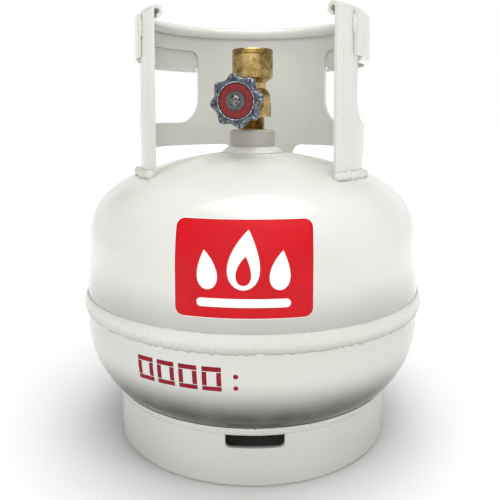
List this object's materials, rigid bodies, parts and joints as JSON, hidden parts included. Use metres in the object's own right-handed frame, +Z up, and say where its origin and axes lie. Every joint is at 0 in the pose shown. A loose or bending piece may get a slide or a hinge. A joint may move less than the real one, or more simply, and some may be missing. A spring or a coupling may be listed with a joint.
{
  "type": "refillable gas cylinder",
  "caption": "Small refillable steel gas cylinder with a guard collar with hand holes, a brass valve with a lobed handwheel, and a foot ring.",
  "frame": {"origin": "middle of the face that the foot ring stands on", "axes": "+Z up along the tank's axis, -Y out through the middle of the guard collar's opening, +X to the right of the opening"},
  "size_m": [0.2541, 0.2542, 0.314],
  "materials": {
    "tank_paint": "gloss off-white enamel",
    "label_film": "gloss printed film",
    "brass": "cast and turned, dulled",
    "wheel_paint": "blue-grey cast, semi-matte",
    "disc_paint": "red enamel",
    "plated_steel": "zinc plated",
    "rubber": "matt",
    "white_plastic": "matt"
  },
  "bodies": {
    "tank": {"upper_shell": "tank_paint", "lower_shell": "tank_paint", "girth_weld": "tank_paint", "valve_boss": "tank_paint", "boss_weld": "tank_paint", "collar": "tank_paint", "right_grip": "tank_paint", "left_grip": "tank_paint", "collar_welds": "tank_paint", "grip_welds": "tank_paint", "foot_ring": "tank_paint", "foot_weld": "tank_paint", "label": "label_film", "valve_body": "brass", "bonnet_nut": "brass", "thrust_washer": "white_plastic", "stem_seal": "rubber", "relief_cap": "brass", "relief_spring": "plated_steel"},
    "handwheel": {"handwheel": "wheel_paint", "wheel_disc": "disc_paint", "wheel_washer": "plated_steel", "wheel_screw": "plated_steel", "upper_spindle": "brass"},
    "seat": {"lower_spindle": "brass", "seat_disc": "white_plastic"},
    "relief": {"relief_poppet": "brass", "relief_seal": "rubber"}
  },
  "joints": [
    {"name": "handwheel_turn", "type": "hinge", "parent": "tank", "child": "handwheel", "pos_m": [-0.00591, -0.03956, 0.248], "axis": [-0.1478, -0.989, 0], "range_deg": [0, 600]},
    {"name": "seat_travel", "type": "slide", "parent": "handwheel", "child": "seat", "axis": [-0.1478, -0.989, 0], "range_m": [0, 0.00251]},
    {"name": "relief_lift", "type": "slide", "parent": "tank", "child": "relief", "axis": [0.1478, 0.989, 0], "range_m": [0, 0.002], "stiffness_N_per_m": 12000, "springref_m": -0.0042, "deforming": ["relief_spring"]}
  ],
  "couplings": [
    {"joint": "seat_travel", "follows": "handwheel_turn", "m_per_rad": 0.00023873}
  ]
}
